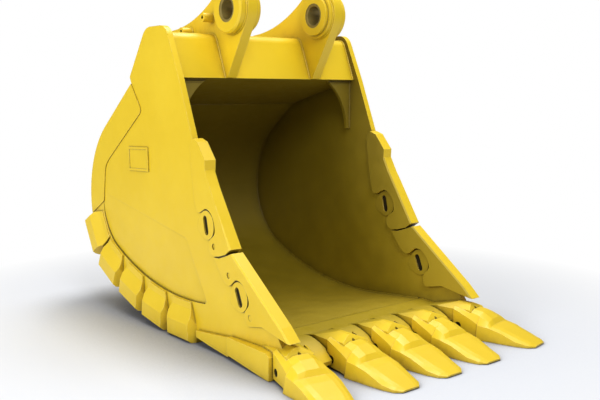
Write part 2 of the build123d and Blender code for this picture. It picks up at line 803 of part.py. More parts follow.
# Teeth: an adapter straddling the lip, a socketed tip on its nose and a turning lock
for index in range(tooth_count):
    root, right, ahead = tooth_axes(index)
    with BuildSketch(across(index, -adapter_half - adapter_half)) as gable:
        Polygon(
            (-adapter_half, ground), (adapter_half, ground), (adapter_half, gable_eave),
            (gable_half, gable_top), (-gable_half, gable_top), (-adapter_half, gable_eave), align=None,
        )
    gable_long = hump_front + 2 * adapter_half
    with BuildPart() as nose:
        for reach, half, top, bottom in nose_sections:
            with BuildSketch(across(index, reach)):
                with Locations((0, (top + bottom) / 2)):
                    Rectangle(2 * half, top - bottom)
        loft(ruled=True)
    with BuildPart() as hump:
        with BuildSketch(along(index)):
            Polygon(*hump_profile, (hump_front, hump_low), (hump_profile[0][0], hump_low), align=None)
        extrude(amount=hump_half, both=True)
        extrude(gable.sketch, amount=gable_long, mode=Mode.INTERSECT)
    with BuildPart() as adapter:
        with BuildSketch(along(index)):
            Polygon(*adapter_profile, align=None)
        extrude(amount=adapter_half, both=True)
        extrude(gable.sketch, amount=gable_long, mode=Mode.INTERSECT)
        with BuildSketch(Plane(root, x_dir=right, z_dir=(0, 0, 1))):
            Polygon(
                (-adapter_rear_half, -adapter_profile[0][0]),
                (adapter_rear_half, -adapter_profile[0][0]),
                (adapter_half, -adapter_flare_reach),
                (adapter_half, -shoulder_reach),
                (-adapter_half, -shoulder_reach),
                (-adapter_half, -adapter_flare_reach),
                align=None,
            )
        extrude(amount=-pin_height, mode=Mode.INTERSECT)
        if index in (0, tooth_count - 1):
            add(corner_leg_left.part if index == 0 else corner_leg_right.part)
            split(bisect_by=across(index, shoulder_reach), keep=Keep.BOTTOM)
        add(hump.part)
        add(nose.part)
        add(edge_space_left.part, mode=Mode.SUBTRACT)
        add(edge_space_right.part, mode=Mode.SUBTRACT)
        extrude(lip_section.sketch, amount=inner_half + weld_gap, both=True, mode=Mode.SUBTRACT)
        with BuildSketch(along(index, -lock_bottom)):
            with Locations((lock_reach, lock_z)):
                Circle(lock_r + run_gap)
        extrude(amount=lock_room, mode=Mode.SUBTRACT)
        with BuildSketch(Plane(root + ahead * eye_reach, x_dir=right, z_dir=(0, 0, 1)).offset(gable_top)):
            Circle(eye_r)
        extrude(amount=hump_profile[-1][1] - gable_top - eye_deep, mode=Mode.SUBTRACT)
    save(adapter.part, f"adapter_{index + 1}")

    with BuildPart() as socket:
        for reach, half, top, bottom in nose_sections:
            with BuildSketch(across(index, reach + (nose_clear if reach > tip_start else 0))):
                with Locations((0, (top + bottom) / 2)):
                    Rectangle(2 * (half + nose_clear), top - bottom + 2 * nose_clear)
        loft(ruled=True)
    with BuildPart() as tip:
        for reach, ridge, crown, shoulder, shoulder_z, foot, foot_z in tip_sections:
            with BuildSketch(across(index, reach)):
                brow = ridge + brow_out * (shoulder - ridge)
                brow_z = crown + brow_down * (shoulder_z - crown)
                Polygon(
                    (-shoulder, shoulder_z), (-brow, brow_z), (-ridge, crown), (ridge, crown),
                    (brow, brow_z), (shoulder, shoulder_z), (foot, foot_z), (-foot, foot_z), align=None,
                )
        loft(ruled=True)
        add(socket.part, mode=Mode.SUBTRACT)
        with BuildSketch(along(index)):
            Polygon(
                (0, 0), (hump_front + nose_clear, 0), (hump_front + nose_clear, hump_low - nose_clear),
                (0, hump_low - nose_clear), align=None,
            )
        extrude(amount=hump_half + nose_clear, both=True, mode=Mode.SUBTRACT)
        with BuildSketch(along(index, -lock_bottom)):
            with Locations((lock_reach, lock_z)):
                Circle(lock_r + run_gap)
        extrude(amount=lock_room, mode=Mode.SUBTRACT)
    save(tip.part, f"tip_{index + 1}")

    with BuildPart() as tip_lock:
        with BuildSketch(along(index, -lock_bottom - weld_gap)):
            with Locations((lock_reach, lock_z)):
                Circle(lock_r)
        extrude(amount=lock_depth)
        with BuildSketch(along(index, -lock_bottom - weld_gap - lock_depth)):
            with Locations((lock_reach, lock_z)):
                Rectangle(2 * drive_half, 2 * drive_half)
        extrude(amount=-drive_deep, mode=Mode.SUBTRACT)
    save(tip_lock.part, f"tip_lock_{index + 1}")

# Lip shrouds hooked over the lip between the adapters, narrower between the tips
for gap in range(1, tooth_count):
    gap_x = (gap - tooth_count / 2) * tooth_pitch
    with BuildPart() as lip_shroud:
        with BuildSketch(side_plane(gap_x)):
            with BuildLine():
                Polyline(*lip_shroud_top)
                ThreePointArc(lip_shroud_top[-1], *lip_shroud_arc)
                Polyline(lip_shroud_arc[-1], *lip_shroud_hook, lip_shroud_top[0])
            make_face()
        extrude(amount=lip_shroud_half, both=True)
        extrude(lip_section.sketch, amount=inner_half, both=True, mode=Mode.SUBTRACT)
        with BuildSketch(Plane.XY.offset(ground)):
            Polygon(
                (gap_x - lip_shroud_half, lip_joint_y),
                (gap_x - lip_shroud_half, lip_shroud_neck[0]),
                (gap_x - lip_shroud_nose_half, lip_shroud_neck[1]),
                (gap_x - lip_shroud_nose_half, lip_shroud_neck[1] - lip_t),
                (gap_x + lip_shroud_nose_half, lip_shroud_neck[1] - lip_t),
                (gap_x + lip_shroud_nose_half, lip_shroud_neck[1]),
                (gap_x + lip_shroud_half, lip_shroud_neck[0]),
                (gap_x + lip_shroud_half, lip_joint_y),
                align=None,
            )
        extrude(amount=pin_height, mode=Mode.INTERSECT)
    save(lip_shroud.part, f"lip_shroud_{gap}")
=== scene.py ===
# %% [markdown]
# # Excavator rock bucket: the looks
# The CAD part is loaded as a fixed frame. This script gives it paint and steel,
# adds the weld beads, sets it on a pale floor and lights it as in a studio.

import math

import bmesh
import bpy
from mathutils import Matrix, Vector


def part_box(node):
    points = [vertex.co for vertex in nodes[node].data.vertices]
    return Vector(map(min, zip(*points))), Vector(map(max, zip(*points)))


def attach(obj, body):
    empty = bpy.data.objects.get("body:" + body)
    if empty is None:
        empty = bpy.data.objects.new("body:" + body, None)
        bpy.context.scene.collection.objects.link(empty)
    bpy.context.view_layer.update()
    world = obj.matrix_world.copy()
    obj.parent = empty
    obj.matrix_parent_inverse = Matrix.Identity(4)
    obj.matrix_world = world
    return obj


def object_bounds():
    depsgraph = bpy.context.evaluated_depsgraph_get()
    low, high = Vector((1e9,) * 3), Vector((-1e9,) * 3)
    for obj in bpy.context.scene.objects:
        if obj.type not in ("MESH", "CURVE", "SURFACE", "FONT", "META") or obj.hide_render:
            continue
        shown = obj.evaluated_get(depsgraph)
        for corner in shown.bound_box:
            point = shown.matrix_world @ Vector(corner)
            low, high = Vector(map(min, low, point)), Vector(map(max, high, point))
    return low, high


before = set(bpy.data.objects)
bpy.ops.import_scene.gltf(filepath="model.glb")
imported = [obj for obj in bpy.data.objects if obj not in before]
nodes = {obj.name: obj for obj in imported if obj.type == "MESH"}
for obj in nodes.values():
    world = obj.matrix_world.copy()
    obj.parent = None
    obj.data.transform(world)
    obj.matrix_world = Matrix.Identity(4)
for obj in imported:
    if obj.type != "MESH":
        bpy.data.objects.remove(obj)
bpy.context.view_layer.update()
print("CAD nodes:", len(nodes))


# %% [markdown]
# ## Colours and node helpers
# Blender's shaders work in linear light, while a paint chart gives sRGB. So colours are written
# as sRGB hex here and turned into linear values in one place.
# A material's nodes could be wired one by one, but the wiring would bury the idea. One function
# adds a node and sets its inputs, and the others put names to what is wired often.

# %% Helpers
def linear(code):
    """Linear RGBA from an sRGB hex code."""
    channels = [int(code[i : i + 2], 16) / 255 for i in (1, 3, 5)]
    return tuple(c / 12.92 if c <= 0.04045 else ((c + 0.055) / 1.055) ** 2.4 for c in channels) + (1.0,)


class Shader:
    """A procedural material on Object coordinates, with short names for its common nodes."""

    def __init__(self, name):
        self.material = bpy.data.materials.new(name)
        self.material.use_nodes = True
        self.tree = self.material.node_tree
        self.surface = self.tree.nodes["Principled BSDF"]
        self.place = self.tree.nodes.new("ShaderNodeTexCoord").outputs["Object"]

    def add(self, kind, settings=None, **inputs):
        """Add a node, set its properties and inputs, and return it."""
        node = self.tree.nodes.new(kind)
        for key, value in (settings or {}).items():
            setattr(node, key, value)
        for key, value in inputs.items():
            self.feed(node.inputs[key.replace("_", " ")], value)
        return node

    def feed(self, socket, value):
        """Link a socket to an output, or give it a plain value."""
        if isinstance(value, bpy.types.NodeSocket):
            self.tree.links.new(value, socket)
        else:
            socket.default_value = value

    def noise(self, size_mm, detail=4.0, roughness=0.55, stretch=(1, 1, 1)):
        """Noise whose blotches are about size_mm across."""
        scale = tuple(1000 / size_mm * axis for axis in stretch)
        spread = self.add("ShaderNodeMapping", Vector=self.place, Scale=scale)
        grain = self.add("ShaderNodeTexNoise", Vector=spread.outputs[0], Scale=1.0)
        self.feed(grain.inputs["Detail"], detail)
        self.feed(grain.inputs["Roughness"], roughness)
        return grain.outputs["Fac"]

    def band(self, value, low, high, start=0.0, end=1.0):
        """Map low..high of a value onto start..end, clamped."""
        node = self.add("ShaderNodeMapRange", Value=value)
        for index, number in enumerate((low, high, start, end), 1):
            node.inputs[index].default_value = number
        return node.outputs[0]

    def maths(self, operation, first, second):
        """Combine two values."""
        node = self.add("ShaderNodeMath", {"operation": operation})
        self.feed(node.inputs[0], first)
        self.feed(node.inputs[1], second)
        return node.outputs[0]

    def dot(self, first, second):
        """Dot product of two vectors."""
        node = self.add("ShaderNodeVectorMath", {"operation": "DOT_PRODUCT"})
        self.feed(node.inputs[0], first)
        self.feed(node.inputs[1], second)
        return node.outputs["Value"]

    def mix(self, factor, first, second):
        """Blend two colours."""
        node = self.add("ShaderNodeMix", {"data_type": "RGBA"})
        self.feed(node.inputs[0], factor)
        self.feed(node.inputs[6], first)
        self.feed(node.inputs[7], second)
        return node.outputs[2]

    def edges(self, width_mm):
        """1 on edges rounded over width_mm, 0 on flat faces."""
        soft = self.add("ShaderNodeBevel", {"samples": 4}, Radius=width_mm / 1000)
        sharp = self.add("ShaderNodeNewGeometry")
        return self.band(self.dot(soft.outputs[0], sharp.outputs["Normal"]), 0.99, 0.9)

    def finish(self, colour, roughness, metallic=0.0, height=None, height_mm=0.2, edge_mm=0.0):
        """Feed the surface, with a bump and rounded edges where they are asked for."""
        self.feed(self.surface.inputs["Base Color"], colour)
        self.feed(self.surface.inputs["Roughness"], roughness)
        self.feed(self.surface.inputs["Metallic"], metallic)
        bump = self.add("ShaderNodeBump", Strength=1.0, Distance=height_mm / 1000)
        if height is not None:
            self.feed(bump.inputs["Height"], height)
        if edge_mm:
            soft = self.add("ShaderNodeBevel", {"samples": 4}, Radius=edge_mm / 1000)
            self.feed(bump.inputs["Normal"], soft.outputs[0])
        self.feed(self.surface.inputs["Normal"], bump.outputs[0])
        return self.material


# %% [markdown]
# ## Paint
# The bucket is blasted and painted once, after welding, with a satin two-pack enamel.
# A paint film can be drawn as an image or built from noise. Noise is used here, because
# it has no seams and its scale is a real size in millimetres.
# Dust and painted shade in the corners, and painted shade in the crevices, come from ambient
# occlusion. The pale worn edges with their painted highlight come from a bevel node compared
# with the flat normal.

# %% Yellow enamel
YELLOW = ("#ecc81c", "#f1ce24")
# The dust colour also serves as painted shade in corners, and the crevice colour is painted shade
CORNER_DUST_AND_SHADE = "#9a7c1c"
PAINTED_CREVICE_SHADE = "#57450c"
# Pale edge colour: worn paint and a painted highlight
PALE_EDGE_AND_HIGHLIGHT = "#fff0a0"
CORNER = 0.1  # metres over which dust and painted shade gather in a corner
JOINT = 0.022  # metres over which painted shade gathers in a joint
COAT = 0.12  # how much of the sheen comes from the clear skin of the enamel
COAT_ROUGHNESS = 0.34
EDGE_MM = 3.0  # how far the paint rounds an edge


def dust_and_painted_shade(shader, colour, tint):
    """Dust and painted shade in wide corners and painted shade in tight crevices."""
    # Painted shade: ambient occlusion darkens wide corners towards the dust colour and tight crevices
    # towards the crevice colour
    wide = shader.add("ShaderNodeAmbientOcclusion", {"samples": 6}, Distance=CORNER)
    dust_and_shade = shader.band(wide.outputs["AO"], 0.9, 0.35)
    dust_and_shade = shader.maths("MULTIPLY", dust_and_shade, shader.band(shader.noise(40), 0.25, 0.75, 0.4, 0.9))
    colour = shader.mix(dust_and_shade, colour, linear(tint))
    tight = shader.add("ShaderNodeAmbientOcclusion", {"samples": 6}, Distance=JOINT)
    return shader.mix(shader.band(tight.outputs["AO"], 0.72, 0.4), colour, linear(PAINTED_CREVICE_SHADE))


def pale_edges_and_highlight(shader, colour, width_mm):
    """Paint worn pale along the edges, in patches, which also paints a highlight there."""
    # The pale edges are partly worn paint and partly a painted highlight
    patches = shader.band(shader.noise(22), 0.4, 0.6)
    pale_edge = shader.maths("MULTIPLY", shader.edges(width_mm), patches)
    return shader.mix(shader.maths("MULTIPLY", pale_edge, 0.4), colour, linear(PALE_EDGE_AND_HIGHLIGHT))


def enamel(name, pale_edge_mm, rough, bump_mm=0.12):
    """Satin yellow enamel over blasted steel."""
    shader = Shader(name)
    colour = shader.mix(shader.band(shader.noise(300), 0.35, 0.7), linear(YELLOW[0]), linear(YELLOW[1]))
    colour = dust_and_painted_shade(shader, colour, CORNER_DUST_AND_SHADE)
    colour = pale_edges_and_highlight(shader, colour, pale_edge_mm)
    roughness = shader.band(shader.noise(60), 0.3, 0.7, rough - 0.06, rough + 0.08)
    shader.surface.inputs["Coat Weight"].default_value = COAT
    shader.surface.inputs["Coat Roughness"].default_value = COAT_ROUGHNESS
    return shader, colour, roughness, bump_mm


def dressed(shader, colour, roughness, bump_mm):
    """Finish an enamel with the fine orange peel of sprayed paint."""
    peel = shader.noise(2.5, detail=2)
    return shader.finish(colour, roughness, height=peel, height_mm=bump_mm, edge_mm=EDGE_MM)


# Sprayed over rolled plate, so smooth with a soft sheen
PLATE = dressed(*enamel("yellow_enamel_on_plate", 5, 0.4))
# Sprayed over castings, so rougher, with the sand-cast skin under it
CAST = dressed(*enamel("yellow_enamel_on_casting", 7, 0.46, 0.3))

# %% [markdown]
# ## The inside of the shell
# The inner faces carry painted shade, darkest in the heel and under the tube.
# The same plate has a clean outer face. A mask could be painted on each plate, but it would have
# to be painted again when a size changes. So the material tells the two faces apart by the
# surface normal: an inner face points at the middle of the bucket.

# %% Painted shade on the inner faces
# Colours of the painted shade inside: lighter near the lip, darkest deep in the heel, with dust and
# painted shade in the corners
INSIDE_SHADE = ("#9f8817", "#aa921d")
INSIDE_DEEP_SHADE = "#78660f"
INSIDE_SHADE_NEAR_LIP = "#b59c1f"
INSIDE_DUST_AND_SHADE = "#5a4a0d"
SCRATCH = "#a08a2a"
CENTRE = (0.0, 0.25, -1.15)  # the middle of the bucket, in metres
WALL = 0.69  # half the inner width
LIP_REAR = -0.56  # where the lip plate meets the wrapper
LIP_FRONT = -0.95  # the cutting edge


def painted_inner_shade(shader):
    """Painted shade on the inner faces: darkest high in the heel, lighter towards the lip, with
    scratches.
    """
    split = shader.add("ShaderNodeSeparateXYZ", Vector=shader.place)
    back = shader.maths("MULTIPLY", split.outputs["Y"], 0.8)
    climb = shader.maths("MULTIPLY", split.outputs["Z"], 0.9)
    # Painted shade that deepens towards the rear and the top of the inside
    deep_shade = shader.band(shader.maths("ADD", back, climb), -1.75, 0.1)
    deep_shade = shader.maths("ADD", deep_shade, shader.band(shader.noise(220), 0.3, 0.7, -0.06, 0.06))
    colour = shader.mix(shader.band(shader.noise(120), 0.35, 0.65), linear(INSIDE_SHADE[0]), linear(INSIDE_SHADE[1]))
    colour = shader.mix(deep_shade, colour, linear(INSIDE_DEEP_SHADE))
    # Less painted shade towards the lip
    less_shade = shader.band(split.outputs["Y"], LIP_REAR + 0.35, LIP_FRONT + 0.15)
    colour = shader.mix(less_shade, colour, linear(INSIDE_SHADE_NEAR_LIP))
    colour = dust_and_painted_shade(shader, colour, INSIDE_DUST_AND_SHADE)
    scratches = shader.band(shader.noise(14, detail=3, stretch=(0.25, 1, 1)), 0.62, 0.78)
    scratches = shader.maths("MULTIPLY", scratches, 0.18)
    return shader.mix(scratches, colour, linear(SCRATCH)), split


def shaded_all_over(name):
    """Enamel with painted shade all over, for what lies wholly inside."""
    shader, colour, roughness, bump_mm = enamel(name, 5, 0.5)
    return dressed(shader, painted_inner_shade(shader)[0], roughness, bump_mm)


def shaded_inside(name, rough, bump_mm):
    """Clean enamel outside, painted shade on faces that look at the bucket's middle."""
    shader, colour, roughness, bump_mm = enamel(name, 5, rough, bump_mm)
    dark = painted_inner_shade(shader)[0]
    toward = shader.add("ShaderNodeVectorMath", {"operation": "SUBTRACT"})
    shader.feed(toward.inputs[0], CENTRE)
    shader.feed(toward.inputs[1], shader.place)
    flat = shader.add("ShaderNodeNewGeometry")
    # Faces that look at the middle of the bucket get the painted shade
    inner = shader.band(shader.dot(toward.outputs[0], flat.outputs["Normal"]), 0.02, 0.12)
    roughness = shader.maths("ADD", roughness, shader.maths("MULTIPLY", inner, 0.12))
    return dressed(shader, shader.mix(inner, colour, dark), roughness, bump_mm)


def shaded_at_rear(name, rough, bump_mm):
    """Painted shade at the rear that fades to clean paint past the cutting edge."""
    shader, colour, roughness, bump_mm = enamel(name, 6, rough, bump_mm)
    dark, split = painted_inner_shade(shader)
    # Painted shade stays behind the cutting edge, above the lip and inside the walls
    fade = shader.band(split.outputs["Y"], LIP_FRONT - 0.02, LIP_FRONT + 0.16)
    fade = shader.maths("MULTIPLY", fade, shader.band(split.outputs["Z"], -1.87, -1.83))
    side = shader.maths("ABSOLUTE", split.outputs["X"], 0.0)
    fade = shader.maths("MULTIPLY", fade, shader.band(side, WALL, WALL - 0.02))
    return dressed(shader, shader.mix(fade, colour, dark), roughness, bump_mm)


# Plate and castings with clean outer faces and painted shade on the inner faces
PLATE_SHADED_INSIDE = shaded_inside("yellow_enamel_painted_shade_inside", 0.4, 0.12)
CAST_SHADED_INSIDE = shaded_inside("yellow_enamel_casting_painted_shade_inside", 0.46, 0.3)
# Plate with painted shade all round
SHADED_ALL_OVER = shaded_all_over("yellow_enamel_painted_shade_all_over")
# Castings and plate with painted shade at the rear and clean paint at the front
CAST_SHADED_AT_REAR = shaded_at_rear("yellow_enamel_casting_painted_shade_rear", 0.46, 0.3)
LIP = shaded_at_rear("yellow_enamel_plate_painted_shade_rear", 0.42, 0.12)


# %% [markdown]
# ## Bare steel
# The bushings are hardened steel, bored and honed, under a brown film of preservative oil.
# The locks are forged and blackened. The hone's rings could be modelled, but they are too fine
# to see, so noise drawn out round the bore is enough. Both are metals and keep the default IOR,
# and neither is fully metallic, because oil and black oxide dull them.

# %% Steels
def steel(name, body, pale, rough, metallic, stretch):
    """Bare steel with fine tool marks."""
    shader = Shader(name)
    marks = shader.noise(3, detail=3, stretch=stretch)
    oil = shader.band(shader.noise(45), 0.35, 0.7)
    colour = shader.mix(oil, linear(body), linear(pale))
    roughness = shader.band(marks, 0.3, 0.7, rough - 0.08, rough + 0.1)
    return shader.finish(
        colour, roughness, metallic, height=marks, height_mm=0.05, edge_mm=EDGE_MM / 2,
    )


# Honed and oiled, so brown and half dull, with fine marks that run round the bore
BUSHING = steel("bushing_steel_honed", "#8f7d42", "#a5914f", 0.4, 0.35, (1, 0.15, 0.15))
# Forged and blackened, so nearly black without a shine
LOCK = steel("lock_steel_blackened", "#2c2718", "#3a3320", 0.55, 0.6, (1, 1, 1))

# %% [markdown]
# ## Which piece gets which finish
# The whole bucket is one colour, but rolled plate and castings take the light differently, and the
# inner faces carry painted shade. The materials could be picked by hand for 59 pieces. The names
# already say what each piece is, so the start of the name decides.

# %% Give every node its material
CASTINGS = ("tip_", "heel_shroud", "corner_strips")
CASTINGS_SHADED_INSIDE = ("protector_lower", "protector_upper", "lock_boss")
PLATES_SHADED_INSIDE = ("wrapper", "side_plate", "torque_tube")
for name, node in nodes.items():
    if "bushing" in name:
        material = BUSHING
    elif name.startswith("tip_lock") or name.startswith("protector_locks"):
        material = LOCK
    elif name.startswith(PLATES_SHADED_INSIDE):
        material = PLATE_SHADED_INSIDE
    elif name.startswith(CASTINGS_SHADED_INSIDE):
        material = CAST_SHADED_INSIDE
    elif name.startswith("corner_gusset"):
        material = SHADED_ALL_OVER
    elif name.startswith(("adapter", "lip_shroud")):
        material = CAST_SHADED_AT_REAR
    elif name == "lip_plate":
        material = LIP
    elif name.startswith(CASTINGS):
        material = CAST
    else:
        material = PLATE
    node.data.materials.clear()
    node.data.materials.append(material)
print("Materials:", len(bpy.data.materials))

# %% [markdown]
# ## Weld beads
# Every seam between plates on a real bucket is a fillet weld, laid in runs that leave ripples.
# A bead could be modelled along hand-placed points. Here the seam is found instead: a copy of
# one plate is cut by the plane of the plate that it meets, and the cut's line becomes a
# rippled round bar, half sunk in the corner.

# %% Finding a seam
BEAD = 0.0065  # radius of a bead on thick plate
SMALL_BEAD = 0.005
RIPPLE = 0.018  # one ripple of the weld, drawn coarser than the real 5 mm to show
RIPPLE_POINTS = 3
RIPPLE_SWELL = 0.16
SAME_POINT = 1e-5
SKIN = 0.0005  # how far a seam's plane clears the face that it follows
ACROSS = (1, 0, 0)


def seam_paths(node, point, normal, keep):
    """Lines where a plane cuts the faces of a node that keep() accepts, as lists of points."""
    shape = bmesh.new()
    shape.from_mesh(nodes[node].data)
    bmesh.ops.remove_doubles(shape, verts=shape.verts, dist=SAME_POINT)
    shape.normal_update()
    dropped = [face for face in shape.faces if not keep(face.normal, face.calc_center_median())]
    bmesh.ops.delete(shape, geom=dropped, context="FACES")
    everything = list(shape.verts) + list(shape.edges) + list(shape.faces)
    cut = bmesh.ops.bisect_plane(shape, geom=everything, plane_co=point, plane_no=normal)
    shape.edges.index_update()
    edges = {item for item in cut["geom_cut"] if isinstance(item, bmesh.types.BMEdge)}
    paths = []
    while edges:
        first = next((e for e in sorted(edges, key=lambda e: e.index) if is_end(e, edges)), None)
        first = first or min(edges, key=lambda e: e.index)
        paths.append(walk(first, edges))
    points = [[vert.co.copy() for vert in path] for path in paths]
    shape.free()
    return points


def is_end(edge, edges):
    """True if one of the edge's corners has no other edge of the seam."""
    return any(sum(e in edges for e in vert.link_edges) == 1 for vert in edge.verts)


def walk(edge, edges):
    """Follow the seam from an edge and take its edges out of the set."""
    edges.discard(edge)
    ends = sorted(edge.verts, key=lambda vert: sum(e in edges for e in vert.link_edges))
    path = list(ends)
    while True:
        onward = [e for e in path[-1].link_edges if e in edges]
        if not onward:
            return path
        edges.discard(onward[0])
        path.append(onward[0].other_vert(path[-1]))


# %% Laying a bead
def even_points(path, step):
    """Points at an even step along a path."""
    lengths = [(b - a).length for a, b in zip(path, path[1:])]
    total = sum(lengths)
    count = max(2, round(total / step))
    result = []
    index, start = 0, 0.0
    for number in range(count + 1):
        reach = total * number / count
        while index < len(lengths) - 1 and reach > start + lengths[index]:
            start += lengths[index]
            index += 1
        share = (reach - start) / max(lengths[index], 1e-9)
        result.append(path[index].lerp(path[index + 1], min(share, 1.0)))
    return result


def bead(name, paths, size=BEAD, material=PLATE):
    """One mesh of rippled round bars along the paths."""
    curve = bpy.data.curves.new(name, "CURVE")
    curve.dimensions = "3D"
    curve.bevel_depth = size
    curve.bevel_resolution = 1
    curve.use_fill_caps = True
    for path in paths:
        if sum((b - a).length for a, b in zip(path, path[1:])) < 3 * size:
            continue
        closed = (path[0] - path[-1]).length < SAME_POINT
        points = even_points(path, RIPPLE / RIPPLE_POINTS)
        if closed:
            points = points[:-1]
        spline = curve.splines.new("POLY")
        spline.points.add(len(points) - 1)
        spline.use_cyclic_u = closed
        for number, point in enumerate(points):
            spline.points[number].co = (*point, 1.0)
            wave = math.cos(math.tau * number / RIPPLE_POINTS)
            spline.points[number].radius = 1.0 + RIPPLE_SWELL * wave
    line = bpy.data.objects.new(name + "_line", curve)
    bpy.context.scene.collection.objects.link(line)
    depsgraph = bpy.context.evaluated_depsgraph_get()
    mesh = bpy.data.meshes.new_from_object(line.evaluated_get(depsgraph))
    mesh.name = name
    piece = bpy.data.objects.new(name, mesh)
    bpy.data.objects.remove(line)
    bpy.context.scene.collection.objects.link(piece)
    mesh.materials.clear()
    mesh.materials.append(material)
    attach(piece, "bucket")
    print(name, "faces:", len(mesh.polygons))


# %% [markdown]
# ## Seams of the box
# The hinge plates saddle the tube and run down the back of the wrapper, and the side plates
# close the tube and the wrapper. Each of those plates is flat, so its face is the plane that
# cuts the tube or the wrapper. Only the faces that a welder could reach are kept.

# %% Beads on the tube, the hinge plates and the shell
SIDES = {"left": -1, "right": 1}
tube_low, tube_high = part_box("torque_tube")
tube_middle = (Vector(tube_low) + Vector(tube_high)) / 2
shell_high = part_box("wrapper")[1]
centre = Vector(CENTRE)


def on_tube(normal, place):
    """Outer faces of the tube that the hinge plates stand on."""
    outward = Vector((0, place.y - tube_middle.y, place.z - tube_middle.z))
    return normal.dot(outward) > 0 and normal.z > -0.5 and place.z > tube_low[2] + 0.15


def in_shell(normal, place):
    """Inner faces of the wrapper."""
    return abs(normal.x) < 0.5 and normal.dot(centre - place) > 0


def on_back(normal, place):
    """Outer faces of the wrapper under the tails of the hinge plates."""
    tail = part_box("hinge_plate_left")[1][1]
    outer = abs(normal.x) < 0.5 and normal.dot(centre - place) < 0
    return outer and place.y < tail and place.z > -0.8


for side, sign in SIDES.items():
    plate_low, plate_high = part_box(f"hinge_plate_{side}")
    seams = []
    for x in (plate_low[0], plate_high[0]):
        seams += seam_paths("torque_tube", (x, 0, 0), ACROSS, on_tube)
        seams += seam_paths("wrapper", (x, 0, 0), ACROSS, on_back)
    bead(f"weld_hinge_plate_{side}", seams)
    end = sign * (shell_high[0] - SKIN)
    bead(f"weld_tube_end_{side}", seam_paths("torque_tube", (end, 0, 0), ACROSS, on_tube))
    seams = seam_paths("wrapper", (end, 0, 0), ACROSS, in_shell)
    bead(f"weld_shell_{side}", seams, material=SHADED_ALL_OVER)

# The tube's rear foot stands on the wrapper in one straight seam
corners = [vert.co for vert in nodes["torque_tube"].data.vertices]
foot = max(corners, key=lambda co: co.y - co.z)
wall = shell_high[0] + 0.005
bead("weld_tube_foot", [[Vector((x, foot.y, foot.z)) for x in (-wall, wall)]], material=SHADED_ALL_OVER)
print("Tube foot:", tuple(foot))

# %% [markdown]
# ## Hubs, bosses and gussets
# The hubs pass through the hinge plates and are welded on both faces, and the keeper bosses
# stand on the outer face. A ring of points could be worked out for each, but cutting the round
# piece by the plate's face gives the same ring, and it stays right if the piece changes.

# %% Beads round the hubs, the keeper bosses and the gussets
BOSS_R = 0.027
GUSSET_BEAD = 0.006
for side, sign in SIDES.items():
    plate_low, plate_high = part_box(f"hinge_plate_{side}")
    faces = (plate_low[0] - SKIN, plate_high[0] + SKIN)
    for pin in ("stick", "link"):
        hub_low, hub_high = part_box(f"{pin}_hub_{side}")
        axis = (Vector(hub_low) + Vector(hub_high)) / 2

        def round_hub(normal, place):
            """Outer faces of the hub, not its bore."""
            return abs(normal.x) < 0.5 and normal.dot(place - axis) > 0

        seams = []
        for x in faces:
            seams += seam_paths(f"{pin}_hub_{side}", (x, 0, 0), ACROSS, round_hub)
        bead(f"weld_{pin}_hub_{side}", seams)
    boss_low, boss_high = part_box(f"keeper_bosses_{side}")
    outer = faces[0] if sign < 0 else faces[1]
    bosses = (
        (boss_low[1] + BOSS_R, boss_high[2] - BOSS_R),
        (boss_high[1] - BOSS_R, boss_low[2] + BOSS_R),
    )

    def round_boss(normal, place):
        """Outer faces of the bosses, not their holes."""
        y, z = min(bosses, key=lambda spot: (spot[0] - place.y) ** 2 + (spot[1] - place.z) ** 2)
        return abs(normal.x) < 0.5 and normal.dot(Vector((0, place.y - y, place.z - z))) > 0

    seams = seam_paths(f"keeper_bosses_{side}", (outer, 0, 0), ACROSS, round_boss)
    bead(f"weld_keeper_bosses_{side}", seams, SMALL_BEAD)
    gusset = f"corner_gusset_{side}"
    end = sign * (shell_high[0] - 2 * SKIN)
    seams = seam_paths(gusset, (end, 0, 0), ACROSS, lambda normal, place: normal.z < 0.5)
    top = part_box(gusset)[1][2] - 2 * GUSSET_BEAD
    seams += seam_paths(gusset, (0, 0, top), (0, 0, 1), lambda normal, place: abs(normal.y) > 0.5)
    bead(f"weld_gusset_{side}", seams, GUSSET_BEAD, SHADED_ALL_OVER)

# %% [markdown]
# ## Castings on the lip and the heel
# The adapters straddle the lip and are welded along their upper legs, and the heel shrouds are
# welded along the edge that lies on the side plate. The lip falls 3 degrees towards the teeth,
# so its plane is tilted and goes through the highest point of the lip plate.

# %% Beads behind the adapters and above the heel shrouds
CAST_BEAD = 0.006
LIP_FALL = math.radians(3)
crest = max((vert.co for vert in nodes["lip_plate"].data.vertices), key=lambda co: co.z)
lip_normal = Vector((0, -math.sin(LIP_FALL), math.cos(LIP_FALL)))
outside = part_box("side_plate_right")[1][0] + SKIN


def round_leg(normal, place):
    """Sides and rear of an adapter's legs, behind the cutting edge."""
    return abs(normal.z) < 0.7 and place.y > -0.88 and abs(place.x) < WALL


def shroud_top(normal, place):
    """The face of a heel shroud that looks up the side plate."""
    inward = Vector((0, centre.y - place.y, centre.z - place.z)).normalized()
    return abs(normal.x) < 0.7 and normal.dot(inward) > 0.7


